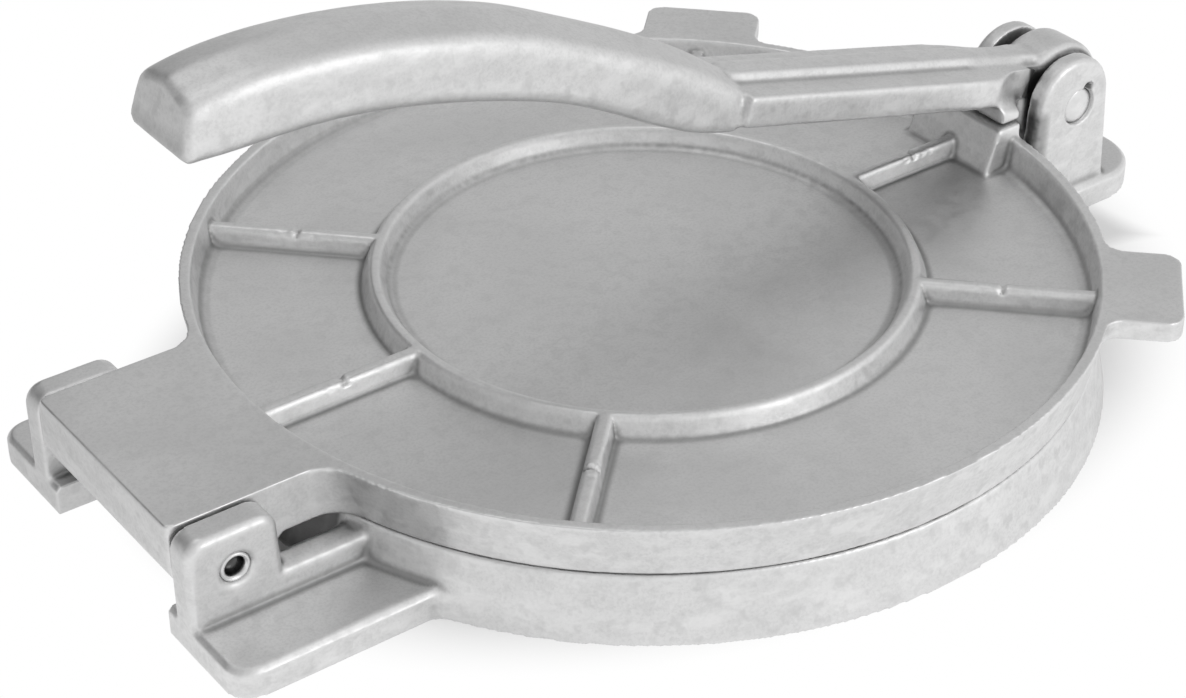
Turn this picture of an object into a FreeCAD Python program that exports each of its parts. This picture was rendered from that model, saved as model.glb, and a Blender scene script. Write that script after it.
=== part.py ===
import FreeCAD, Part
import math
import os

from FreeCAD import Vector

# Tortilla press of cast aluminium: two round plates on a hinge, pressed together by a lever.
# The model is built about the centre of the plates, on the table, with +X from the hinge to the
# lever's clevis, +Z up. It is moved along X at the end, so that its origin is the middle of its footprint.

# Plates
plate_radius = 100.0
wall_inset = 2.4
base_spread = 0.8
base_height = 14.6
press_gap = 0.3
plate_top = 27.0
web_thickness = 5.1
rim_width = 2.5
wall_draft = 1.5
foot_ledge_width = 1.8
foot_ledge_height = 0.6

# Stiffening ring and radial ribs
ring_share = 0.584
ring_top_width = 2.8
ring_foot_width = 6.6
ring_ledge_width = 1.6
ring_ledge_height = 0.5
rib_top_width = 3.2
rib_foot_width = 5.0
rib_setback = 2.6
rib_bevel = 0.7
rib_root = 1.0
rib_angles = (0, 45, 135, 180, 225, 315)

# Hinge: tab and knuckle on the upper plate, ears and feet on the base
hinge_offset = 21.2
hinge_z = 17.4
tab_length = 31.6
tab_width = 52.2
tab_fillet = 8.0
tab_corner = 1.5
knuckle_drop = 7.0
knuckle_round = 7.5
knuckle_back = 9.5
side_clearance = 0.6
ear_thickness = 6.6
ear_width = 21.0
ear_top = 26.6
ear_corner = 4.0
edge_round = 1.5
edge_bevel = 1.1
foot_length = 31.6
foot_width = 99.0
foot_thickness = 6.6
foot_corner = 5.5
foot_fillet = 5.0
foot_ledge = 3.7
arm_web_height = 12.5

# Clevis and its foot
clevis_offset = 18.6
clevis_z = 28.2
clevis_play = 1.7
clevis_ear_width = 22.6
clevis_ear_thickness = 4.4
clevis_ear_offset = 1.8
clevis_flare = 2.2
clevis_ear_rise = 12.7
clevis_foot_width = 29.2
clevis_foot_length = 43.7
clevis_foot_corner = 13.5
clevis_web_height = 13.0
ear_flare = 1.2

# Finger tabs beside the clevis
grip_tab_angles = (45, -45)
grip_tab_width = 28.0
grip_tab_length = 14.5
grip_tab_thickness = 4.6
grip_tab_corner = 4.0
grip_tab_fillet = 4.0

# Pad that the lever presses
pad_width = 27.0
pad_top = 30.2
pad_depth = 11.7
pad_lean = 4.3
pad_taper = 0.6

# Lever
hub_radius = 13.3
hub_width = 13.3
hub_bevel = 2.1
shoulder_gap = 1.2
arm_angle = 14.7
arm_width = 23.4
arm_thickness = 7.5
arm_rise = 0.4
arm_share = 0.453
ridge_width = 7.8
ridge_height = 2.3
nose_length = 6.0
nose_overhang = 0.2
grip_length = 231.0
grip_rise = 76.5
grip_width = 23.4
grip_top_round = 4.4
grip_top_flats = 3
grip_foot_bevel = 1.4
grip_crown = 1.3
grip_side_taper = 0.8
grip_end_bevel = 1.2

# Pins
hinge_pin_radius = 3.3
hinge_pin_bore = 2.1
hinge_pin_flare = 0.5
hinge_pin_depth = 3.0
lever_pin_radius = 4.5
lever_pin_bevel = 0.8
pin_end_recess = 0.5
seat_clearance = 0.03
running_clearance = 0.08
countersink = 0.7

# Working allowances: how far cuts run past a face, how near an edge counts as lying on a face,
# and how near two faces count as one
overrun = 1.0
near = 0.15
fuse_tolerance = 0.001

# Grip stations from the end to the arm: bottom and top, each as shares of the grip's length
# from the pin and of its rise above the pin, then the share of the grip's width
grip_shares = (
    (0.996, 0.810, 0.985, 0.982, 0.95),
    (0.936, 0.806, 0.929, 1.005, 0.97),
    (0.862, 0.799, 0.847, 0.996, 0.98),
    (0.760, 0.743, 0.732, 0.932, 1.00),
    (0.669, 0.659, 0.635, 0.830, 1.00),
    (0.589, 0.547, 0.550, 0.703, 1.00),
    (0.529, 0.441, 0.485, 0.594, 0.97),
    (0.483, 0.374, 0.436, 0.489, 0.93),
    (0.448, 0.342, 0.394, 0.400, 0.89),
)

# Places that follow from the sizes above
seam_radius = plate_radius - wall_inset
base_foot_radius = plate_radius + base_spread
ring_mid_radius = plate_radius * ring_share
hinge_x = -plate_radius - hinge_offset
hinge_reach = plate_radius + tab_length
foot_reach = plate_radius + foot_length
clevis_x = plate_radius + clevis_offset
clevis_foot_reach = plate_radius + clevis_foot_length
arm_length = grip_length * arm_share
floor_z = base_height + press_gap + web_thickness
plate_bottom = base_height + press_gap
rib_top = plate_top - rib_setback
pocket_z = base_height - web_thickness
pad_gap = press_gap
clevis_inner = hub_width / 2 + clevis_play
clevis_outer = clevis_inner + clevis_ear_thickness
ear_inner = tab_width / 2 + side_clearance
ear_outer = ear_inner + ear_thickness
origin_shift = (hinge_reach - clevis_foot_reach) / 2

Z = Vector(0, 0, 1)
Y = Vector(0, 1, 0)


def polygon(points):
    return Part.makePolygon(list(points) + [points[0]])


def turned_solid(profile):
    """Revolve a closed profile of (radius, height) points about the plates' centre line."""
    wire = polygon([Vector(r, 0, z) for r, z in profile])
    return Part.Face(wire).revolve(Vector(), Z, 360)


def side_prism(wire, low_y, high_y):
    """Extrude a wire drawn in the XZ plane from low_y to high_y."""
    prism = Part.Face(wire).extrude(Y * (high_y - low_y))
    prism.translate(Y * low_y)
    return prism


def block(x, y, z):
    """Box between two limits along each axis."""
    size = [high - low for low, high in (x, y, z)]
    return Part.makeBox(*size, Vector(x[0], y[0], z[0]))


def cross_bar(x, z, radius, half_length):
    """Cylinder along Y, centred on the plane of symmetry."""
    return Part.makeCylinder(radius, 2 * half_length, Vector(x, -half_length, z), Y)


def fillet_where(shape, radius, test):
    edges = [edge for edge in shape.Edges if test(edge)]
    return shape.makeFillet(radius, edges)


def bevel_where(shape, size, test):
    edges = [edge for edge in shape.Edges if test(edge)]
    return shape.makeChamfer(size, edges)


def is_upright(edge):
    first, last = edge.Vertexes[0].Point, edge.Vertexes[-1].Point
    rise = abs(last.z - first.z)
    run = math.hypot(last.x - first.x, last.y - first.y)
    return rise > 2 * run


def lies_at(edge, z):
    box = edge.BoundBox
    return abs(box.ZMin - z) < near and abs(box.ZMax - z) < near


def tongue_wire(z, ring_radius, half_width, reach, fillet):
    """Outline of a tongue that leaves a round wall along +X, with a concave fillet at each root.

    The outline closes on an arc in the middle of the rim's width, so that nothing shows inside the wall.
    """
    centre_y = half_width + fillet
    centre_x = math.sqrt((ring_radius + fillet) ** 2 - centre_y ** 2)
    touch = ring_radius / (ring_radius + fillet)
    slant = math.atan2(centre_y * (touch - 1), centre_x * (touch - 1)) % (2 * math.pi)
    middle = (slant + 1.5 * math.pi) / 2

    def place(x, y):
        return Vector(x, y, z)

    lines = []
    root = place(centre_x * touch, centre_y * touch)
    depth = 1 - rim_width / 2 / ring_radius
    seat = place(root.x * depth, root.y * depth)
    seat_middle = place(ring_radius * depth, 0)
    waist = place(centre_x + fillet * math.cos(middle), centre_y + fillet * math.sin(middle))
    start = place(centre_x, half_width)
    end = place(reach, half_width)
    flip = [place(p.x, -p.y) for p in (root, waist, start, end, seat)]
    lines.append(Part.Arc(root, waist, start).toShape())
    lines.append(Part.makeLine(start, end))
    lines.append(Part.makeLine(end, flip[3]))
    lines.append(Part.makeLine(flip[3], flip[2]))
    lines.append(Part.Arc(flip[2], flip[1], flip[0]).toShape())
    lines.append(Part.makeLine(flip[0], flip[4]))
    lines.append(Part.Arc(flip[4], seat_middle, seat).toShape())
    lines.append(Part.makeLine(seat, root))
    return Part.Wire(lines)


def tongue(low_z, high_z, low_ring, high_ring, width, reach, fillet, corner):
    """Tongue between two heights, whose roots follow the draft of the wall that they leave."""
    low = tongue_wire(low_z, low_ring, width / 2, reach, fillet)
    high = tongue_wire(high_z, high_ring, width / 2, reach, fillet)
    solid = Part.makeLoft([low, high], True, True)
    return fillet_where(
        solid, corner,
        lambda edge: is_upright(edge) and edge.BoundBox.XMin > reach - near)


def rib_section(foot_width, foot_z, top_width, top_z):
    """Section of a drafted rib with bevelled top edges, as (across, height) from its middle."""
    side_z = top_z - math.copysign(rib_bevel, top_z - foot_z)
    half = [(foot_width / 2, foot_z), (top_width / 2, side_z), (top_width / 2 - rib_bevel, top_z)]
    return half + [(-across, z) for across, z in reversed(half)]


def stiffeners(foot_z, top_z):
    """Ring rib and radial ribs, from their wide foot to their narrow top."""
    ring = rib_section(ring_foot_width, foot_z, ring_top_width, top_z)
    ledge_z = foot_z + math.copysign(rib_root / 2 + ring_ledge_height, top_z - foot_z)
    ring += [(-ring_foot_width / 2, ledge_z), (-ring_foot_width / 2 - ring_ledge_width, foot_z)]
    pieces = [turned_solid([(ring_mid_radius + across, z) for across, z in ring])]
    straight = rib_section(rib_foot_width, foot_z, rib_top_width, top_z)
    section = Part.Face(polygon([Vector(ring_mid_radius, y, z) for y, z in straight]))
    rib = section.extrude(Vector(plate_radius - rim_width - rib_root - ring_mid_radius, 0, 0))
    for angle in rib_angles:
        pieces.append(rib.rotated(Vector(), Z, angle))
    return pieces


def upper_plate():
    rim_inner = plate_radius - rim_width
    wall_foot = rim_inner - wall_draft
    disc = turned_solid([
        (0, plate_bottom),
        (seam_radius, plate_bottom),
        (plate_radius, plate_top),
        (rim_inner, plate_top),
        (wall_foot, floor_z + foot_ledge_height),
        (wall_foot - foot_ledge_width, floor_z),
        (0, floor_z),
    ])
    parts = stiffeners(floor_z - rib_root / 2, rib_top)
    parts += [hinge_tab(), pressing_pad()]
    for angle in grip_tab_angles:
        tab = tongue(plate_top - grip_tab_thickness, plate_top,
                     plate_radius - grip_tab_thickness * wall_slope(), plate_radius,
                     grip_tab_width, plate_radius + grip_tab_length, grip_tab_fillet, grip_tab_corner)
        parts.append(tab.rotate(Vector(), Z, angle))
    bore = cross_bar(hinge_x, hinge_z, hinge_pin_radius + running_clearance, tab_width)
    return disc.multiFuse(parts, fuse_tolerance).cut(bore).removeSplitter()


def wall_slope():
    return (plate_radius - seam_radius) / (plate_top - plate_bottom)


def hinge_tab():
    """Slab flush with the rim, with a rounded knuckle that hangs down around the hinge pin."""
    slab = tongue(plate_bottom, plate_top, seam_radius, plate_radius,
                  tab_width, hinge_reach, tab_fillet, tab_corner)
    slab.rotate(Vector(), Z, 180)
    end = -hinge_reach
    bottom = hinge_z - knuckle_drop
    back = hinge_x + knuckle_back
    lift = plate_bottom - bottom
    knuckle = side_prism(polygon([
        Vector(end, 0, plate_top - tab_corner),
        Vector(end, 0, bottom),
        Vector(back, 0, bottom),
        Vector(back + lift, 0, plate_bottom),
        Vector(back + lift, 0, plate_top - tab_corner),
    ]), -tab_width / 2, tab_width / 2)
    knuckle = fillet_where(
        knuckle, knuckle_round,
        lambda edge: lies_at(edge, bottom) and edge.BoundBox.XMax < end + near)
    lower_end = block((end - overrun, end + knuckle_round), (-tab_width, tab_width),
                      (bottom - overrun, bottom + knuckle_round))
    solid = slab.cut(lower_end.cut(knuckle)).fuse(knuckle)
    return solid


def pressing_pad():
    """Block on the rim at the clevis side, leaning outwards, on which the lever's nose bears."""
    half = pad_width / 2
    foot_z = floor_z - rib_root / 2

    def level(x, half_width, z):
        return polygon([Vector(x, -half_width, z), Vector(plate_radius, -half_width, z),
                        Vector(plate_radius, half_width, z), Vector(x, half_width, z)])

    foot_x = plate_radius - pad_depth
    body = Part.makeLoft([level(foot_x, half, foot_z),
                          level(foot_x + pad_lean, half - pad_taper, pad_top)], True, True)
    limit_radius = plate_radius - wall_slope() * (plate_top - foot_z)
    limit = Part.makeCone(limit_radius, plate_radius, plate_top - foot_z, Vector(0, 0, foot_z))
    limit = limit.fuse(Part.makeCylinder(plate_radius, pad_top - plate_top, Vector(0, 0, plate_top)))
    return body.common(limit)


def base_plate():
    rim_inner = plate_radius - rim_width
    wall_top = rim_inner - wall_draft - foot_ledge_width
    disc = turned_solid([
        (0, base_height),
        (seam_radius, base_height),
        (base_foot_radius, 0),
        (rim_inner, 0),
        (wall_top, pocket_z),
        (0, pocket_z),
    ])
    parts = stiffeners(pocket_z + rib_root / 2, rib_setback)
    parts += [hinge_feet(), clevis()]
    solid = disc.multiFuse(parts, fuse_tolerance)
    for x, z, radius, face in ((hinge_x, hinge_z, hinge_pin_radius, ear_outer),
                               (clevis_x, clevis_z, lever_pin_radius, clevis_outer)):
        solid = solid.cut(pin_hole(x, z, radius, face))
    return solid.removeSplitter()


def pin_hole(x, z, radius, face):
    """Seat for a pin through a pair of ears, countersunk at both outer faces."""
    seat = radius + seat_clearance
    hole = cross_bar(x, z, seat, face + overrun)
    cones = []
    for side in (1, -1):
        mouth = Vector(x, side * face, z)
        cones.append(Part.makeCone(seat + countersink, seat, countersink, mouth, Y * -side))
    return hole.multiFuse(cones)


def hinge_feet():
    """Two flanged feet beside the hinge tab, each with an ear and a low web to the plate."""
    slab = tongue(0, foot_thickness, base_foot_radius, base_foot_radius - foot_thickness * base_slope(),
                  foot_width, foot_reach, foot_fillet, foot_corner)
    slab = bevel_where(slab, edge_bevel, lambda edge: lies_at(edge, foot_thickness)
                       and edge.BoundBox.XMax > base_foot_radius)
    slab.rotate(Vector(), Z, 180)
    inner = ear_inner - foot_ledge
    slot = block((-foot_reach - overrun, -seam_radius + rim_width / 2), (-inner, inner),
                 (-overrun, foot_thickness + overrun))
    feet = [slab.cut(slot)]
    left = -foot_reach
    ear = side_prism(polygon([
        Vector(left, 0, 0),
        Vector(left + ear_width, 0, 0),
        Vector(left + ear_width - ear_flare, 0, ear_top),
        Vector(left, 0, ear_top),
    ]), ear_inner, ear_outer)
    ear = fillet_where(ear, ear_corner, lambda edge: lies_at(edge, ear_top)
                       and edge.BoundBox.YLength > ear_thickness - near)
    ear = bevel_where(ear, edge_bevel, lambda edge: edge.BoundBox.YMin > ear_outer - near
                      and edge.BoundBox.ZMax > near)
    web = block((left + ear_width / 2, -seam_radius + ear_width),
                (ear_inner, ear_outer), (0, arm_web_height))
    web = fillet_where(web, edge_round, lambda edge: lies_at(edge, arm_web_height)
                       and edge.BoundBox.XLength > edge.BoundBox.YLength)
    for piece in (ear, outside_plate(web)):
        feet += [piece, piece.mirror(Vector(), Y)]
    return feet[0].multiFuse(feet[1:])


def outside_plate(web):
    """Trim a web so that it ends inside the plate's wall and doesn't show in the pocket under it."""
    return web.cut(Part.makeCylinder(seam_radius, base_height))


def base_slope():
    return (base_foot_radius - seam_radius) / base_height


def clevis():
    """Rounded foot with two round-topped ears that hold the lever's pin."""
    foot = tongue(0, foot_thickness, base_foot_radius, base_foot_radius - foot_thickness * base_slope(),
                  clevis_foot_width, clevis_foot_reach, foot_fillet, clevis_foot_corner)
    foot = bevel_where(foot, edge_bevel, lambda edge: lies_at(edge, foot_thickness)
                       and edge.BoundBox.XMax > base_foot_radius)
    middle = clevis_x - clevis_ear_offset
    radius = clevis_ear_width / 2
    round_z = clevis_z + clevis_ear_rise - radius
    corners = [Vector(middle - radius - clevis_flare, 0, 0), Vector(middle + radius + clevis_flare, 0, 0),
               Vector(middle + radius, 0, round_z), Vector(middle - radius, 0, round_z)]
    crown = Part.Arc(corners[2], Vector(middle, 0, round_z + radius), corners[3]).toShape()
    outline = Part.Wire([Part.makeLine(corners[0], corners[1]), Part.makeLine(corners[1], corners[2]),
                         crown, Part.makeLine(corners[3], corners[0])])
    ear = side_prism(outline, clevis_inner, clevis_outer)
    ear = bevel_where(ear, edge_bevel, lambda edge: edge.BoundBox.YMin > clevis_outer - near
                      and edge.BoundBox.ZMax > near)
    web = block((seam_radius - rim_width, middle), (clevis_inner, clevis_outer),
                (0, clevis_web_height))
    pieces = []
    for piece in (ear, outside_plate(web)):
        pieces += [piece, piece.mirror(Vector(), Y)]
    return foot.multiFuse(pieces)


def grip_section(bottom_x, bottom_z, top_x, top_z, half_width):
    """Closed section across the grip: bevelled foot, tapered sides, shoulders in flats and a low crown."""
    up = Vector(top_x - bottom_x, 0, top_z - bottom_z)
    height = up.Length
    up.normalize()
    base = Vector(bottom_x, 0, bottom_z)
    top_half = half_width - grip_side_taper

    def at(y, h):
        return base + up * h + Y * y

    shoulder = height - grip_crown
    right = [at(half_width - grip_foot_bevel, 0), at(half_width, grip_foot_bevel)]
    for step in range(grip_top_flats + 1):
        turn = math.pi / 2 * step / grip_top_flats
        right.append(at(top_half - grip_top_round * (1 - math.cos(turn)),
                        shoulder - grip_top_round * (1 - math.sin(turn))))
    left = [Vector(p.x, -p.y, p.z) for p in reversed(right)]
    return polygon(right + [at(0, height)] + left)


def grip():
    """Smooth loft through the grip's stations, with a bevelled end."""
    sections = []
    for bottom_x, bottom_z, top_x, top_z, width in grip_shares:
        sections.append(grip_section(
            clevis_x - bottom_x * grip_length, clevis_z + bottom_z * grip_rise,
            clevis_x - top_x * grip_length, clevis_z + top_z * grip_rise,
            width * grip_width / 2))
    bottom_x, bottom_z, top_x, top_z, width = grip_shares[0]
    end = grip_section(
        clevis_x - bottom_x * grip_length - grip_end_bevel, clevis_z + bottom_z * grip_rise + grip_end_bevel,
        clevis_x - top_x * grip_length - grip_end_bevel, clevis_z + top_z * grip_rise - grip_end_bevel,
        width * grip_width / 2 - grip_end_bevel)
    cap = Part.makeLoft([end, sections[0]], True, True)
    return Part.makeLoft(sections, True, False).fuse(cap)


def lever():
    """Hub, fluted arm with its nose, and grip, all in one casting."""
    pin = Vector(clevis_x, 0, clevis_z)
    hub = cross_bar(clevis_x, clevis_z, hub_radius, hub_width / 2)
    hub = bevel_where(hub, hub_bevel, lambda edge: edge.BoundBox.YLength < near)
    far = clevis_x - arm_length
    low = clevis_z + arm_rise
    ridge_top = low + arm_thickness + ridge_height
    flange = block((far, clevis_x), (-arm_width / 2, arm_width / 2), (low, low + arm_thickness))
    ridge = block((far, clevis_x), (-ridge_width / 2, ridge_width / 2),
                  (low, ridge_top))
    ridge = fillet_where(ridge, ridge_height / 2, lambda edge: lies_at(edge, ridge_top)
                         and edge.BoundBox.XLength > ridge_width)
    flange = fillet_where(flange, edge_round / 2, lambda edge: edge.BoundBox.XLength > arm_width + near)
    arm = flange.fuse(ridge).rotate(pin, Y, arm_angle)
    nose_end = plate_radius + nose_overhang
    nose = block((nose_end - nose_length, nose_end), (-arm_width / 2, arm_width / 2),
                 (pad_top + pad_gap, clevis_z + arm_thickness + ridge_height))
    wide = arm.fuse(nose)
    shoulder = cross_bar(clevis_x, clevis_z, hub_radius + shoulder_gap, arm_width)
    neck = cross_bar(clevis_x, clevis_z, hub_radius + shoulder_gap + overrun, hub_width / 2)
    wide = wide.cut(shoulder.cut(neck))
    solid = wide.multiFuse([hub, grip()])
    bore = cross_bar(clevis_x, clevis_z, lever_pin_radius + running_clearance, hub_width)
    return solid.cut(bore).removeSplitter()


def hinge_pin():
    """Pin through both hinge ears and the knuckle, with a flared recess in each riveted end."""
    half = ear_outer - pin_end_recess
    pin = cross_bar(hinge_x, hinge_z, hinge_pin_radius, half)
    for side in (1, -1):
        mouth = Vector(hinge_x, side * half, hinge_z)
        recess = Part.makeCylinder(hinge_pin_bore, hinge_pin_depth, mouth, Y * -side)
        flare = Part.makeCone(hinge_pin_bore + hinge_pin_flare, hinge_pin_bore, hinge_pin_flare,
                              mouth, Y * -side)
        pin = pin.cut(recess.fuse(flare))
    return pin


def lever_pin():
    """Solid pin through the clevis ears and the hub, with bevelled ends."""
    pin = cross_bar(clevis_x, clevis_z, lever_pin_radius, clevis_outer - pin_end_recess)
    return bevel_where(pin, lever_pin_bevel, lambda edge: edge.BoundBox.YLength < near)


def main():
    os.makedirs("parts", exist_ok=True)
    nodes = {
        "base_plate": base_plate(),
        "upper_plate": upper_plate(),
        "lever": lever(),
        "hinge_pin": hinge_pin(),
        "lever_pin": lever_pin(),
    }
    for name, shape in nodes.items():
        shape.translate(Vector(origin_shift, 0, 0))
        shape.exportStep(f"parts/{name}.step")
        print(name, "solids", len(shape.Solids), "valid", shape.isValid(), "volume", round(shape.Volume))


main()
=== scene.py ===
import math

import bmesh
import bpy
import numpy as np
from mathutils import Matrix, Vector, noise

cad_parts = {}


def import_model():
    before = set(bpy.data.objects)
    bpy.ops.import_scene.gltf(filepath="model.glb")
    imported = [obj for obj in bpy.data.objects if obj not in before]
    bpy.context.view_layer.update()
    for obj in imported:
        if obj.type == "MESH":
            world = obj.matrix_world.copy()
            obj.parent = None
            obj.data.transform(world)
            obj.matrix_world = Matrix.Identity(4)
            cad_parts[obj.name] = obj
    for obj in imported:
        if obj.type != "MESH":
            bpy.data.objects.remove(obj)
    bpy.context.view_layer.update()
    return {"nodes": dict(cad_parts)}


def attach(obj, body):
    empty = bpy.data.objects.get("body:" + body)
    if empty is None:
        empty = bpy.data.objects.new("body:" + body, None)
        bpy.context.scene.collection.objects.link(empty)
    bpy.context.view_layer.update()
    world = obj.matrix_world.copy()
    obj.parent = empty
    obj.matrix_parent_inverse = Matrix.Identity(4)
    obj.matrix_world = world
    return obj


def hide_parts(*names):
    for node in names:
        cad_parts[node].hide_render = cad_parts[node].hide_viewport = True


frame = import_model()

MM = 0.001

# Camera fitted to the photograph
CAMERA_PLACE = (-0.305657, -0.386669, 0.330073)
CAMERA_RIGHT = (0.80423, -0.59432, 0.0)
CAMERA_UP = (0.33220, 0.44952, 0.82920)
CAMERA_LENS = 80.83
SENSOR_WIDTH = 36.0
CLIP_NEAR, CLIP_FAR = 0.01, 20.0

# Lamps as (name, place, width, power), and the place that they all face
LAMPS = (("key_lamp", (0.30, -0.85, 0.42), 0.7, 1.3), ("top_lamp", (0.0, 0.35, 1.2), 0.8, 0.8))
LAMP_AIM = (0.0, 0.0, 0.02)

# Floor: half its width and the paper's tone, the scales and edge of the ellipse that takes the object's
# shadow, the edges of the shaded gap between the hinge feet, and the ramp of a painted reflection: the
# paper glows white in reflections, more towards the front
FLOOR_HALF = 3.0
PAPER = 0.86
SHADE_SCALES = (6.6, 8.6, 0.0)
SHADE_EDGE = (0.66, 0.88)
GAP_EDGE_ACROSS = (0.026, 0.036)
GAP_EDGE_ALONG = (0.114, 0.124)
FRONT_GLOW_TOWARDS = (0.3, -0.95, 0.0)
FRONT_GLOW_RAMP = (-0.16, 0.02, 0.10, 1.0)

# Room: tones of its back left, middle and front right, the direction from one to the other, where they
# change over, and the height and strength of the backdrop that gloss sees
ROOM_BACK, ROOM_MIDDLE, ROOM_FRONT = 0.12, 0.58, 0.88
ROOM_TOWARDS = (0.35, -0.94, 0.0)
ROOM_BACK_EDGE = (-0.55, -0.90)
ROOM_FRONT_EDGE = (0.0, 0.50)
BACKDROP = (0.10, 0.32, 0.50, 0.0)

# Pin axes at rest, as (x, z) in the row frame, and the centre of the plates
HINGE_AXIS = (-0.12725, 0.0174)
LEVER_AXIS = (0.11255, 0.0282)
PLATE_CENTRE = -0.00605

# Cast aluminium: its noises as (scale, detail, roughness, distortion), and how the streaks are stretched
CLOUD = (38.0, 3.0, 0.55, 0.3)
MOTTLE = (330.0, 2.0, 0.55)
GRAIN = (1500.0, 3.0, 0.65)
STREAK = (300.0, 3.0, 0.6)
STREAK_STRETCH = (0.4, 0.4, 1.0)

# Its tones, and the ramps that say where each goes, as (low, high, share at low, share at high)
CAST_DULL, CAST_BRIGHT = 0.72, 0.77
MOTTLE_TONE, GRAIN_TONE, PATCH_TONE, SPOT_TONE = 0.56, 0.58, 0.84, 0.52
# Tone of the painted shade in hollows and creases, then that of edges lighter from wear and a painted
# highlight
PAINTED_SHADE_TONE, WORN_AND_HIGHLIGHT_TONE = 0.08, 0.80
PAINTED_SHADE_SHARE = 0.95
STEEP_RAMP = (0.85, 0.45)
CLOUD_RAMP = (0.34, 0.68)
MOTTLE_RAMP = (0.30, 0.52, 0.18, 0.0)
GRAIN_RAMP = (0.42, 0.66, 0.0, 0.35)
PATCH_RAMP = (0.42, 0.70, 0.0, 0.60)
SPOT_RAMP = (0.46, 0.74, 0.0, 0.45)
# Where edges are lighter from wear and a painted highlight
WORN_AND_HIGHLIGHT_RAMP = (0.30, 0.60, 0.30, 0.85)

# Its roughness, less where it is worn, and its bump, more on steep faces
CLOUD_ROUGH = (0.35, 0.65, 0.42, 0.50)
MOTTLE_ROUGH = (0.35, 0.65, 0.04, -0.04)
WORN_POLISH = 0.10
BUMP_SHARE, BUMP_MORE = 0.25, 0.25
BUMP_DEPTH = 0.14 * MM
MOTTLE_BUMP, GRAIN_BUMP = 0.8, 0.45

# Pin steel: its noise, tones of its base colour and of the painted shade inside a hollow end, and its
# ramps
STEEL_NOISE = (240.0, 2.0, 0.5)
STEEL_DULL, STEEL_BRIGHT, STEEL_RECESS_SHADE = 0.72, 0.80, 0.10
STEEL_RAMP = (0.35, 0.65)
STEEL_ROUGH = (0.35, 0.7, 0.36, 0.26)

# Castings: size of the skin's cells and passes of smoothing for each node, then the waves as (spacing,
# depth), the skin kept true round the pins, and what counts as an edge that is worn and takes a painted
# highlight, or a hollow that takes painted shade
SKINS = {"base_plate": (0.5 * MM, 2), "upper_plate": (0.45 * MM, 2), "lever": (0.4 * MM, 3)}
WELD = 0.001 * MM
SMOOTH_STEP = 0.5
WAVES = ((16 * MM, 0.05 * MM), (5 * MM, 0.03 * MM))
BORE_KEEP = 6.5 * MM
BORE_FADE = 2.0 * MM
EDGE_PASSES = 6
EDGE_DEPTH = 0.13 * MM
HOLLOW_PASSES = 26
HOLLOW_DEPTH = 0.32 * MM
HOLLOW_FROM = 0.06 * MM
HOLLOW_MOST = 0.6

# The grip's flats are evened out between these places along X, and the arm's flutes are softened beyond
GRIP_END = -0.1165
GRIP_END_FADE = 0.006
GRIP_FOOT = -0.0040
GRIP_FADE = 0.010
GRIP_PASSES = 60
ARM_PASSES = 14

# Neck of the arm, as half widths in mm at distances along it from the lever's pin, where its sides are
# rounded, and the slope and height of the arm's underside
NECK = ((0.0, 7.0), (18.0, 7.0), (21.0, 7.6), (24.0, 9.0), (26.5, 10.8), (28.5, 12.2))
NECK_PASSES = 60
NECK_FROM = 13.5 * MM
NECK_TO = 33.0 * MM
NECK_FADE = 4.0 * MM
NECK_FOOT_FADE = 1.0 * MM
ARM_SLOPE = math.radians(14.7)
ARM_RISE = 0.4 * MM

# Nick and rough edge halfway along each radial rib, at these angles and this distance from the centre
RIB_ANGLES = (0, 45, 135, 180, 225, 315)
MARK_RADIUS = 77 * MM
MARK_REACH = 7.0 * MM
NICK_DEPTH = 0.55 * MM
NICK_WIDTH = 0.6 * MM
ROUGH_DEPTH = 0.35 * MM
ROUGH_GRAIN = 1.6 * MM
RIB_CREST = 0.0232

# Seat of the lever's pin in the ears' outer faces, and the chip in its edge: turn in degrees, distance
# from the pin's axis, reach, depth and how steeply it falls off
EAR_FACE = 12.65 * MM
SEAT_BORE = 4.65 * MM
SEAT_REACH = 6.2 * MM
SEAT_DEEP = 1.6 * MM
CHIP_TURN = 58.0
CHIP_PLACE = 5.0 * MM
CHIP_REACH = 1.9 * MM
CHIP_DEPTH = 1.3 * MM
CHIP_FALL = 1.4

# Boxes in mm as (low corner, high corner, soft edge, share), mirrored over Y: where painted shade
# darkens the crevices, gaps and faces that turn away from the light, and what is rounder than in the CAD
PAINTED_SHADE_BOXES = {
    "base_plate": (
        ((98, 0, 9), (130, 7.9, 42), 0.7, 1.0),
        ((95, 7.9, 8), (100.6, 11.6, 28.0), 3.0, 1.1),
        ((-112, 0, 0), (-99, 25.5, 13.5), 2.0, 0.95),
        ((114.4, 10.9, 31.4), (116.2, 12.3, 33.4), 0.5, 1.0),
    ),
    "upper_plate": (
        ((-112, 0, 12), (-104, 19, 19), 1.5, 0.7),
    ),
    "lever": (
        ((101, 6.1, 16), (124, 7.4, 40), 0.7, 1.0),
        ((-126, 0, 50), (-119.2, 10, 120), 1.6, 0.35),
    ),
}
ROUNDER = (((94, 11, 18), (101, 13, 32), 3.0, 1.0),)
ROUND_PASSES = 30

# Turned pins: half lengths, and the ends' profiles in mm from centre to shank, as (depth, radius)
LEVER_PIN_HALF = 12.25 * MM
LEVER_PIN_END = ((0.0, 0.0), (0.03, 1.6), (0.12, 2.9), (0.30, 3.7), (0.62, 4.2), (1.05, 4.44),
                 (1.6, 4.5))
HINGE_PIN_HALF = 32.8 * MM
HINGE_PIN_END = ((3.0, 0.0), (2.95, 1.2), (2.6, 1.9), (1.2, 2.1), (0.45, 2.2), (0.08, 2.55),
                 (0.0, 2.8), (0.10, 3.05), (0.40, 3.25), (0.9, 3.3))
PIN_STEPS = 72
# Points of the recess in a hollow end, which take painted shade
RECESS_DEPTH = 0.6 * MM
RECESS_REACH = 2.3 * MM


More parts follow.
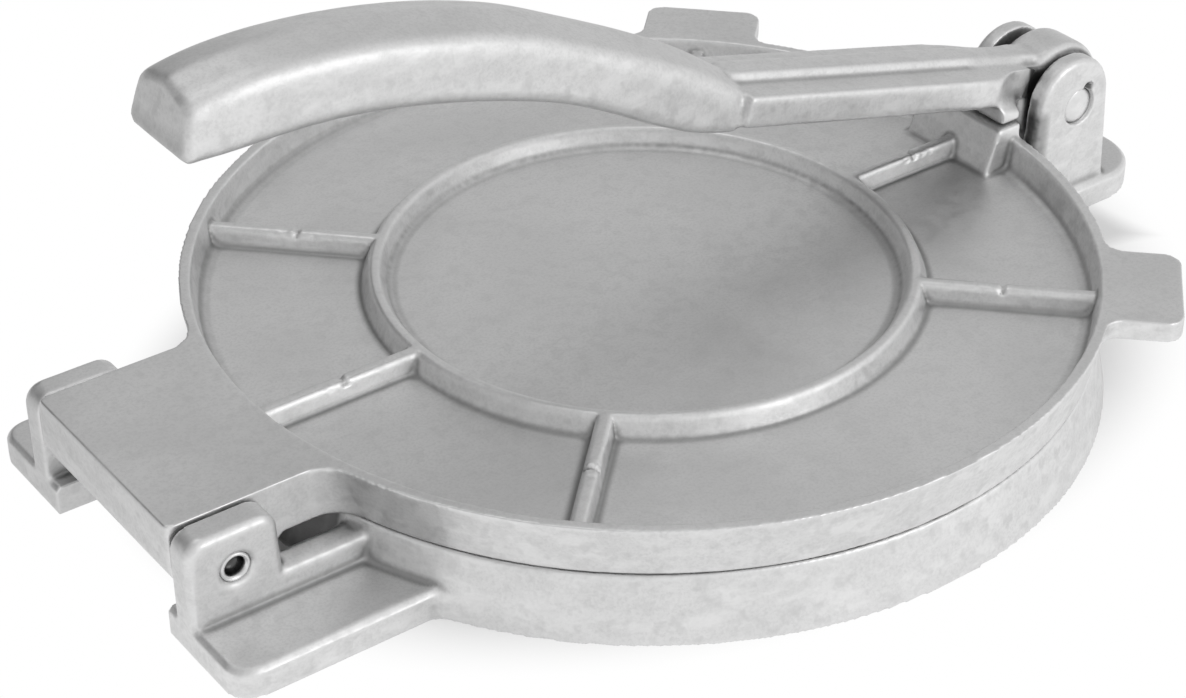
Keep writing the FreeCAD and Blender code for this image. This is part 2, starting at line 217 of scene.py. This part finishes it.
def node_tree(name):
    """A new material with its graph and output node."""
    material = bpy.data.materials.new(name)
    material.use_nodes = True
    tree = material.node_tree
    tree.nodes.clear()
    output = tree.nodes.new("ShaderNodeOutputMaterial")
    return material, Graph(tree), output


class Graph:
    """Short calls for adding and joining shader nodes."""

    def __init__(self, tree):
        self.tree = tree

    def add(self, kind, **settings):
        node = self.tree.nodes.new(kind)
        for key, value in settings.items():
            setattr(node, key, value)
        return node

    def feed(self, socket, value):
        if isinstance(value, bpy.types.NodeSocket):
            self.tree.links.new(value, socket)
        else:
            socket.default_value = value

    def noise(self, place, scale, detail=2.0, rough=0.5, distort=0.0):
        node = self.add("ShaderNodeTexNoise")
        self.feed(node.inputs["Vector"], place)
        self.feed(node.inputs["Scale"], scale)
        self.feed(node.inputs["Detail"], detail)
        self.feed(node.inputs["Roughness"], rough)
        self.feed(node.inputs["Distortion"], distort)
        return node.outputs["Fac"]

    def ramp(self, value, low, high, out_low=0.0, out_high=1.0):
        node = self.add("ShaderNodeMapRange", interpolation_type="SMOOTHSTEP")
        self.feed(node.inputs["Value"], value)
        for key, number in (("From Min", low), ("From Max", high),
                            ("To Min", out_low), ("To Max", out_high)):
            self.feed(node.inputs[key], number)
        return node.outputs["Result"]

    def math(self, operation, *values):
        node = self.add("ShaderNodeMath", operation=operation)
        for socket, value in zip(node.inputs, values):
            self.feed(socket, value)
        return node.outputs[0]

    def magnitude(self, value):
        return self.math("ABSOLUTE", value)

    def times(self, first, second):
        return self.math("MULTIPLY", first, second)

    def dot(self, place, direction):
        return self.vector("DOT_PRODUCT", place, direction)

    def vector(self, operation, *values):
        node = self.add("ShaderNodeVectorMath", operation=operation)
        for socket, value in zip(node.inputs, values):
            self.feed(socket, value)
        return node.outputs["Value" if operation in ("DOT_PRODUCT", "LENGTH") else "Vector"]

    def blend(self, share, first, second):
        node = self.add("ShaderNodeMix", data_type="RGBA")
        self.feed(node.inputs["Factor"], share)
        self.feed(node.inputs[6], first)
        self.feed(node.inputs[7], second)
        return node.outputs[2]

    def attribute(self, name):
        return self.add("ShaderNodeAttribute", attribute_name=name).outputs["Fac"]

    def metal(self, output, colour, rough, normal=None):
        """Join a metal of this colour and roughness to the output."""
        shader = self.add("ShaderNodeBsdfPrincipled")
        self.feed(shader.inputs["Base Color"], colour)
        self.feed(shader.inputs["Metallic"], 1.0)
        self.feed(shader.inputs["Roughness"], rough)
        if normal is not None:
            self.feed(shader.inputs["Normal"], normal)
        self.feed(output.inputs["Surface"], shader.outputs["BSDF"])

    def seen_by(self):
        """Whether a ray comes from the camera, and whether it is mirrored or let through."""
        path = self.add("ShaderNodeLightPath").outputs
        return path["Is Camera Ray"], self.math("MAXIMUM", path["Is Glossy Ray"],
                                                path["Is Transmission Ray"])


def grey(value):
    return (value, value, value, 1.0)


def cast_aluminium():
    """Tumbled, as-cast aluminium: even grey with fine mottling and streaked sides, painted shade in
    hollows and creases, and edges lighter from wear and a painted highlight.
    """
    material, graph, output = node_tree("cast_aluminium")
    coordinates = graph.add("ShaderNodeTexCoord").outputs
    place = coordinates["Object"]
    steep = graph.ramp(graph.magnitude(graph.dot(coordinates["Normal"], (0, 0, 1))), *STEEP_RAMP)
    cloud = graph.noise(place, *CLOUD)
    mottle = graph.noise(place, *MOTTLE)
    grain = graph.noise(place, *GRAIN)
    streak = graph.noise(graph.vector("MULTIPLY", place, STREAK_STRETCH), *STREAK)

    mottled = graph.ramp(mottle, *MOTTLE_RAMP)
    grained = graph.ramp(grain, *GRAIN_RAMP)
    patched = graph.times(graph.ramp(streak, *PATCH_RAMP), steep)
    spotted = graph.times(graph.ramp(mottle, *SPOT_RAMP), steep)
    # Painted shade, darkening hollows, creases and the boxes of painted shade
    shade_share = graph.times(graph.attribute("painted_shade"), PAINTED_SHADE_SHARE)
    # Edges lighter from wear and a painted highlight
    worn_and_highlight = graph.times(graph.attribute("worn_and_highlight"), graph.ramp(mottle, *WORN_AND_HIGHLIGHT_RAMP))
    colour = graph.blend(graph.ramp(cloud, *CLOUD_RAMP), grey(CAST_DULL), grey(CAST_BRIGHT))
    for share, tone in ((mottled, MOTTLE_TONE), (grained, GRAIN_TONE), (patched, PATCH_TONE),
                        (spotted, SPOT_TONE), (shade_share, PAINTED_SHADE_TONE), (worn_and_highlight, WORN_AND_HIGHLIGHT_TONE)):
        colour = graph.blend(share, colour, grey(tone))

    rough = graph.math("ADD", graph.ramp(cloud, *CLOUD_ROUGH), graph.ramp(mottle, *MOTTLE_ROUGH))
    rough = graph.math("SUBTRACT", rough, graph.times(worn_and_highlight, WORN_POLISH))
    bump = graph.add("ShaderNodeBump")
    graph.feed(bump.inputs["Strength"], graph.math("ADD", BUMP_SHARE, graph.times(steep, BUMP_MORE)))
    graph.feed(bump.inputs["Distance"], BUMP_DEPTH)
    graph.feed(bump.inputs["Height"], graph.math("ADD", graph.times(mottle, MOTTLE_BUMP),
                                                 graph.times(grain, GRAIN_BUMP)))
    graph.metal(output, colour, rough, bump.outputs["Normal"])
    return material


def pin_steel():
    """Bright drawn steel, a little mottled where it was riveted, with painted shade inside the hollow
    ends.
    """
    material, graph, output = node_tree("pin_steel")
    mark = graph.noise(graph.add("ShaderNodeTexCoord").outputs["Object"], *STEEL_NOISE)
    colour = graph.blend(graph.ramp(mark, *STEEL_RAMP), grey(STEEL_DULL), grey(STEEL_BRIGHT))
    # Painted shade inside the recess of a hollow end
    colour = graph.blend(graph.attribute("painted_shade"), colour, grey(STEEL_RECESS_SHADE))
    graph.metal(output, colour, graph.ramp(mark, *STEEL_ROUGH))
    return material


def new_object(name, data):
    """An object in the scene for a mesh, lamp or camera."""
    piece = bpy.data.objects.new(name, data)
    bpy.context.scene.collection.objects.link(piece)
    return piece


def skinned(piece, cell):
    """The piece's mesh as one closed skin of even cells, which joins whatever overlaps in it."""
    skin = piece.modifiers.new("skin", "REMESH")
    skin.mode = "VOXEL"
    skin.voxel_size = cell
    depsgraph = bpy.context.evaluated_depsgraph_get()
    mesh = bpy.data.meshes.new_from_object(piece.evaluated_get(depsgraph))
    piece.modifiers.clear()
    return mesh


def note(mesh, name, values):
    """Keep one value from 0 to 1 for each point, for the materials."""
    layer = mesh.attributes.new(name, "FLOAT", "POINT")
    layer.data.foreach_set("value", np.clip(values, 0.0, 1.0).astype(np.float32))


class Skin:
    """Points, normals and edges of a casting's skin, for shaping it."""

    def __init__(self, mesh):
        self.mesh = mesh
        edges = np.empty(len(mesh.edges) * 2, np.int32)
        mesh.edges.foreach_get("vertices", edges)
        self.first, self.second = edges.reshape(-1, 2).T
        self.count = len(mesh.vertices)
        self.valence = np.maximum(np.bincount(edges, minlength=self.count), 1)
        self.points = self.read("co")

    def read(self, key):
        values = np.empty(self.count * 3, np.float32)
        self.mesh.vertices.foreach_get(key, values)
        return values.reshape(-1, 3).astype(float)

    def write(self):
        self.mesh.vertices.foreach_set("co", self.points.astype(np.float32).ravel())
        self.mesh.update()

    def normals(self):
        self.write()
        return self.read("normal")

    def mean(self, values):
        """Mean of each point's neighbours, for one value or place for each point."""
        if values.ndim == 2:
            return np.stack([self.mean(values[:, axis]) for axis in range(values.shape[1])], 1)
        total = np.bincount(self.first, values[self.second], self.count)
        total += np.bincount(self.second, values[self.first], self.count)
        return total / self.valence

    def smoothed(self, values, passes, share=1.0):
        for _ in range(passes):
            values = values + (self.mean(values) - values) * (SMOOTH_STEP * share)
        return values

    def soften(self, passes, share=1.0):
        """Round edges a little, as tumbling does, by a share for all points or for each."""
        self.points = self.smoothed(self.points, passes, np.reshape(share, (-1, 1)))

    def even_out(self, share, passes):
        """Take the flats out where share is 1, and give back what that shrinks."""
        before = self.points
        self.soften(passes, share)
        normals = self.normals()
        loss = self.smoothed(((before - self.points) * normals).sum(1), passes)
        self.points = self.points + normals * (loss * share)[:, None]

    def raise_by(self, height):
        """Move the skin out along its normals, but not in the pins' bores."""
        for x, z in (HINGE_AXIS, LEVER_AXIS):
            away = np.hypot(self.points[:, 0] - x, self.points[:, 2] - z)
            height = height * np.clip((away - BORE_KEEP) / BORE_FADE, 0.0, 1.0)
        self.points = self.points + self.normals() * height[:, None]

    def note_wear_highlight_and_shade(self, painted_shade_boxes):
        """Keep how far each point stands out of, or lies in, its surroundings: edges that stand out are
        lighter from wear and a painted highlight, and hollows and the boxes take painted shade.
        """
        normals = self.normals()
        near = self.smoothed(self.points, EDGE_PASSES)
        wide = self.smoothed(near, HOLLOW_PASSES - EDGE_PASSES)
        # Edges that stand out: wear and a painted highlight
        note(self.mesh, "worn_and_highlight", ((self.points - near) * normals).sum(1) / EDGE_DEPTH)
        # Hollows take painted shade, and so do the boxes
        painted_shade = ((wide - self.points) * normals).sum(1) - HOLLOW_FROM
        note(self.mesh, "painted_shade", np.maximum(np.minimum(painted_shade / HOLLOW_DEPTH, HOLLOW_MOST), painted_shade_boxes))


def waves(points):
    """Slight waves of a hand-finished casting."""
    height = np.zeros(len(points))
    for spacing, depth in WAVES:
        height += [depth * noise.noise(Vector(point) / spacing) for point in points]
    return height


def rib_marks(points):
    """A nick and a rough edge where each rib was gated, halfway along its crest."""
    height = np.zeros(len(points))
    for angle in RIB_ANGLES:
        turn = math.radians(angle)
        along = (points[:, 0] - PLATE_CENTRE) * math.cos(turn) + points[:, 1] * math.sin(turn)
        across = points[:, 1] * math.cos(turn) - (points[:, 0] - PLATE_CENTRE) * math.sin(turn)
        away = np.hypot(along - MARK_RADIUS, across) / MARK_REACH
        near = np.flatnonzero((away < 1.0) & (points[:, 2] > RIB_CREST))
        rough = np.array([noise.noise(Vector(point) / ROUGH_GRAIN) for point in points[near]])
        height[near] -= ROUGH_DEPTH * np.clip(rough, 0.0, 1.0) * (1.0 - away[near] ** 2)
        height[near] -= NICK_DEPTH * np.exp(-((along[near] - MARK_RADIUS) / NICK_WIDTH) ** 2)
    return height


def arm_places(points):
    """Distances along the arm from the lever's pin, and above its underside."""
    x, z = LEVER_AXIS
    back, up = x - points[:, 0], points[:, 2] - z
    along = back * math.cos(ARM_SLOPE) + up * math.sin(ARM_SLOPE)
    above = up * math.cos(ARM_SLOPE) - back * math.sin(ARM_SLOPE) - ARM_RISE
    return along, above


def beside_neck(points):
    """Share of smoothing on the sides of the neck."""
    along, above = arm_places(points)
    ends = np.minimum(along - NECK_FROM, NECK_TO - along) / NECK_FADE
    return np.clip(np.minimum(ends, above / NECK_FOOT_FADE + 0.5), 0.0, 1.0)


def neck(points):
    """Draw the sides of the arm in to the hub's width where it meets the hub."""
    along, above = arm_places(points)
    places, halves = np.array(NECK).T * MM
    drawn_in = (above > 0.0) & (along < places[-1])
    half = np.where(drawn_in, np.interp(along, places, halves), np.inf)
    narrow = points.copy()
    narrow[:, 1] = np.clip(points[:, 1], -half, half)
    return narrow


def pin_seat(points):
    """Crisp edges round the lever's pin on the ears' outer faces, and a crescent sunk beside it."""
    x, y, z = points.T
    x, z = x - LEVER_AXIS[0], z - LEVER_AXIS[1]
    turn = math.radians(CHIP_TURN)
    reach = np.hypot(x, z)
    away = np.hypot(x - CHIP_PLACE * math.cos(turn), z - CHIP_PLACE * math.sin(turn))
    depth = CHIP_DEPTH * np.clip(CHIP_FALL * (1.0 - away / CHIP_REACH), 0.0, 1.0)
    flat = (reach > SEAT_BORE) & (reach < SEAT_REACH) & (np.abs(y) > EAR_FACE - SEAT_DEEP)
    seat = points.copy()
    seat[:, 1] = np.where(flat, np.sign(y) * (EAR_FACE - depth), y)
    return seat


def in_boxes(points, boxes):
    """Share that the boxes give to each point, falling off over their soft edges."""
    share = np.zeros(len(points))
    folded = points.copy()
    folded[:, 1] = np.abs(points[:, 1])
    for low, high, edge, most in boxes:
        outside = np.maximum(np.array(low) * MM - folded, folded - np.array(high) * MM)
        away = np.linalg.norm(np.maximum(outside, 0.0), axis=1)
        share = np.maximum(share, most * np.clip(1.0 - away / (edge * MM), 0.0, 1.0))
    return share


def shape_lever(skin):
    """Narrow neck, even grip, softer flutes."""
    skin.points = neck(skin.points)
    along = skin.points[:, 0]
    foot = np.clip((GRIP_FOOT - along) / GRIP_FADE, 0.0, 1.0)
    skin.even_out(np.clip((along - GRIP_END) / GRIP_END_FADE, 0.0, 1.0) * foot, GRIP_PASSES)
    skin.soften(ARM_PASSES, 1.0 - foot)
    skin.soften(NECK_PASSES, beside_neck(skin.points))


def shape_base_plate(skin):
    """Rounder inner corners at the clevis, and the seat of the lever's pin."""
    skin.soften(ROUND_PASSES, in_boxes(skin.points, ROUNDER))
    skin.points = pin_seat(skin.points)


def shape_upper_plate(skin):
    """Marks on the radial ribs."""
    skin.raise_by(rib_marks(skin.points))


SHAPES = {"base_plate": shape_base_plate, "upper_plate": shape_upper_plate, "lever": shape_lever}


def dress(mesh, material):
    """Smooth shading and one material all over."""
    mesh.shade_smooth()
    mesh.materials.clear()
    mesh.materials.append(material)


def casting(node, body, material):
    """A casting that stands for its CAD node, with tumbled edges and an uneven skin."""
    cell, passes = SKINS[node]
    work = bmesh.new()
    work.from_mesh(frame["nodes"][node].data)
    bmesh.ops.remove_doubles(work, verts=work.verts, dist=WELD)
    mesh = bpy.data.meshes.new(node + "_casting")
    work.to_mesh(mesh)
    work.free()
    corners = np.array([vertex.co for vertex in mesh.vertices])
    piece = new_object(node + "_casting", mesh)
    piece.data = skinned(piece, cell)
    skin = Skin(piece.data)
    skin.soften(passes)
    SHAPES[node](skin)
    skin.raise_by(waves(skin.points))
    skin.points = np.clip(skin.points, corners.min(0), corners.max(0))
    # Painted shade in hollows and in the boxes, and edges lighter from wear and a painted highlight
    skin.note_wear_highlight_and_shade(in_boxes(skin.points, PAINTED_SHADE_BOXES[node]))
    skin.write()
    dress(piece.data, material)
    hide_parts(node)
    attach(piece, body)


def turned_pin(node, body, axis, half, end, material):
    """A pin turned about an axis along Y, with the same end on both sides."""
    x, z = axis
    profile = [(half - depth * MM, radius * MM) for depth, radius in end]
    profile += [(-y, radius) for y, radius in reversed(profile)]
    turns = [math.tau * step / PIN_STEPS for step in range(PIN_STEPS)]
    work = bmesh.new()
    rings = []
    for y, radius in profile:
        rings.append([work.verts.new((x + radius * math.sin(turn), y, z + radius * math.cos(turn)))
                      for turn in (turns if radius else turns[:1])])
    for outer, inner in zip(rings, rings[1:]):
        for step in range(PIN_STEPS):
            after = (step + 1) % PIN_STEPS
            corners = [outer[step % len(outer)], outer[after % len(outer)],
                       inner[after % len(inner)], inner[step % len(inner)]]
            work.faces.new(list(dict.fromkeys(corners)))
    bmesh.ops.recalc_face_normals(work, faces=work.faces)
    mesh = bpy.data.meshes.new(node + "_turned")
    work.to_mesh(mesh)
    work.free()
    points = np.array([vertex.co for vertex in mesh.vertices], float)
    depth = half - np.abs(points[:, 1])
    reach = np.hypot(points[:, 0] - x, points[:, 2] - z)
    # Painted shade in the recess of a hollow end
    note(mesh, "painted_shade", (depth > RECESS_DEPTH) & (reach < RECESS_REACH))
    dress(mesh, material)
    piece = new_object(node + "_turned", mesh)
    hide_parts(node)
    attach(piece, body)


def stage_material():
    """White paper that takes the shadow round the object, and is plain white away from it; in
    reflections it glows white, more towards the front, as a painted reflection.
    """
    material, graph, output = node_tree("floor_paper")
    camera_ray, mirrored = graph.seen_by()
    place = graph.add("ShaderNodeTexCoord").outputs["Object"]
    away = graph.vector("LENGTH", graph.vector("MULTIPLY", place, SHADE_SCALES))
    along = graph.magnitude(graph.dot(place, (1, 0, 0)))
    across = graph.magnitude(graph.dot(place, (0, 1, 0)))
    beside = graph.math("MAXIMUM", graph.ramp(across, *GAP_EDGE_ACROSS),
                        graph.ramp(along, *GAP_EDGE_ALONG))
    beside = graph.math("MINIMUM", graph.ramp(away, *SHADE_EDGE), beside)
    # Painted reflection: the paper glows white for gloss, more towards the front
    front_glow = graph.ramp(graph.dot(place, FRONT_GLOW_TOWARDS), *FRONT_GLOW_RAMP)
    paper = graph.add("ShaderNodeBsdfDiffuse")
    graph.feed(paper.inputs["Color"], grey(PAPER))
    glow = graph.add("ShaderNodeEmission")
    graph.feed(glow.inputs["Color"], grey(1.0))
    graph.feed(glow.inputs["Strength"], 1.0)
    mixed = graph.add("ShaderNodeMixShader")
    graph.feed(mixed.inputs["Fac"], graph.math("MAXIMUM", graph.times(camera_ray, beside),
                                               graph.times(graph.times(mirrored, beside), front_glow)))
    graph.feed(mixed.inputs[1], paper.outputs["BSDF"])
    graph.feed(mixed.inputs[2], glow.outputs["Emission"])
    graph.feed(output.inputs["Surface"], mixed.outputs["Shader"])
    return material


def floor():
    """Table top."""
    mesh = bpy.data.meshes.new("floor")
    corners = [(x * FLOOR_HALF, y * FLOOR_HALF, 0) for x, y in ((-1, -1), (1, -1), (1, 1), (-1, 1))]
    mesh.from_pydata(corners, [], [(0, 1, 2, 3)])
    mesh.materials.append(stage_material())
    piece = new_object("floor", mesh)


def world():
    """A soft room, lighter to the front right, with a white backdrop for the eye and for gloss."""
    sky = bpy.data.worlds.new("room")
    bpy.context.scene.world = sky
    sky.use_nodes = True
    sky.node_tree.nodes.clear()
    graph = Graph(sky.node_tree)
    output = graph.add("ShaderNodeOutputWorld")
    camera_ray, mirrored = graph.seen_by()
    heading = graph.add("ShaderNodeTexCoord").outputs["Generated"]
    side = graph.dot(heading, ROOM_TOWARDS)
    room = graph.blend(graph.ramp(side, *ROOM_BACK_EDGE), grey(ROOM_MIDDLE), grey(ROOM_BACK))
    room = graph.blend(graph.ramp(side, *ROOM_FRONT_EDGE), room, grey(ROOM_FRONT))
    backdrop = graph.times(mirrored, graph.ramp(graph.dot(heading, (0, 0, 1)), *BACKDROP))
    glow = graph.add("ShaderNodeBackground")
    graph.feed(glow.inputs["Color"],
               graph.blend(graph.math("MAXIMUM", camera_ray, backdrop), room, grey(1.0)))
    graph.feed(glow.inputs["Strength"], 1.0)
    graph.feed(output.inputs["Surface"], glow.outputs["Background"])


def lamp(name, place, width, power):
    """A round area lamp that faces the object."""
    data = bpy.data.lights.new(name, "AREA")
    data.shape = "DISK"
    data.size = width
    data.energy = power
    piece = new_object(name, data)
    piece.location = place
    piece.rotation_mode = "QUATERNION"
    piece.rotation_quaternion = (Vector(LAMP_AIM) - Vector(place)).to_track_quat("-Z", "Y")


def camera():
    """The photograph's viewpoint."""
    data = bpy.data.cameras.new("photo_camera")
    data.sensor_fit = "HORIZONTAL"
    data.sensor_width = SENSOR_WIDTH
    data.lens = CAMERA_LENS
    data.clip_start, data.clip_end = CLIP_NEAR, CLIP_FAR
    piece = new_object("photo_camera", data)
    right, up = Vector(CAMERA_RIGHT).normalized(), Vector(CAMERA_UP).normalized()
    turn = Matrix((right, up, right.cross(up))).transposed()
    piece.matrix_world = Matrix.Translation(CAMERA_PLACE) @ turn.to_4x4()
    bpy.context.scene.camera = piece


bpy.context.scene.view_settings.view_transform = "Standard"

aluminium = cast_aluminium()
steel = pin_steel()
for node, body in (("base_plate", "base"), ("upper_plate", "lid"), ("lever", "lever")):
    casting(node, body, aluminium)
turned_pin("hinge_pin", "base", HINGE_AXIS, HINGE_PIN_HALF, HINGE_PIN_END, steel)
turned_pin("lever_pin", "base", LEVER_AXIS, LEVER_PIN_HALF, LEVER_PIN_END, steel)

floor()
world()
for settings in LAMPS:
    lamp(*settings)
camera()
